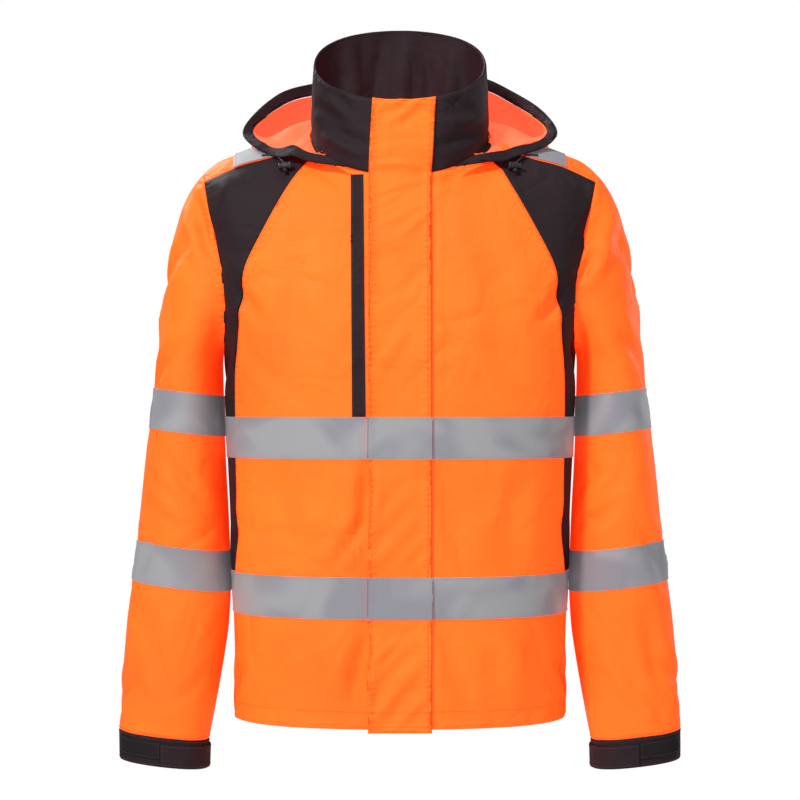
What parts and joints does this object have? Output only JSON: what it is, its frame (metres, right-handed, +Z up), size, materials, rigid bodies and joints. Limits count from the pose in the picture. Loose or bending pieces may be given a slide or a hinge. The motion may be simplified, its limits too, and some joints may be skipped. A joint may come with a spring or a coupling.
{
  "type": "hi-vis work jacket",
  "caption": "Long-sleeved orange and black high-visibility work jacket with grey reflective bands, high collar and thrown-back hood, hollow as worn.",
  "frame": {"origin": "middle of the neck seam, at the height of its sides, where the jacket sits on the wearer's shoulders", "axes": "+Z up along the jacket's length; +X to the wearer's left; the front faces -Y"},
  "size_m": [0.6946, 0.3203, 0.9245],
  "materials": {
    "orange_cloth": "fluorescent woven polyester, slight sheen",
    "black_cloth": "black woven polyester, matt with a slight sheen",
    "reflective_band": "grey glass-bead reflective tape",
    "black_plastic": "moulded, satin",
    "black_cord": "braided elastic cord"
  },
  "bodies": {
    "root": {"back": "orange_cloth", "band_lower_back": "reflective_band", "band_lower_flap": "reflective_band", "band_lower_front_left": "reflective_band", "band_lower_front_right": "reflective_band", "band_lower_side_left": "reflective_band", "band_lower_side_right": "reflective_band", "band_lower_sleeve_left": "reflective_band", "band_lower_sleeve_right": "reflective_band", "band_upper_back": "reflective_band", "band_upper_flap": "reflective_band", "band_upper_front_left": "reflective_band", "band_upper_front_right": "reflective_band", "band_upper_side_left": "reflective_band", "band_upper_side_right": "reflective_band", "band_upper_sleeve_left": "reflective_band", "band_upper_sleeve_right": "reflective_band", "brace_left": "reflective_band", "brace_right": "reflective_band", "collar": "black_cloth", "cord_end_left": "black_plastic", "cord_end_right": "black_plastic", "cord_lock_left": "black_plastic", "cord_lock_right": "black_plastic", "cuff_left": "black_cloth", "cuff_patch_left": "black_cloth", "cuff_patch_right": "black_cloth", "cuff_right": "black_cloth", "cuff_tab_left": "black_cloth", "cuff_tab_right": "black_cloth", "drawcord_left": "black_cord", "drawcord_right": "black_cord", "front_left": "orange_cloth", "front_right": "orange_cloth", "hood": "orange_cloth", "hood_rim": "black_cloth", "pocket_edging": "black_cloth", "shoulder_side_left": "black_cloth", "shoulder_side_right": "black_cloth", "side_lower_left": "orange_cloth", "side_lower_right": "orange_cloth", "sleeve_left": "orange_cloth", "sleeve_right": "orange_cloth", "storm_flap": "orange_cloth"}
  },
  "joints": []
}
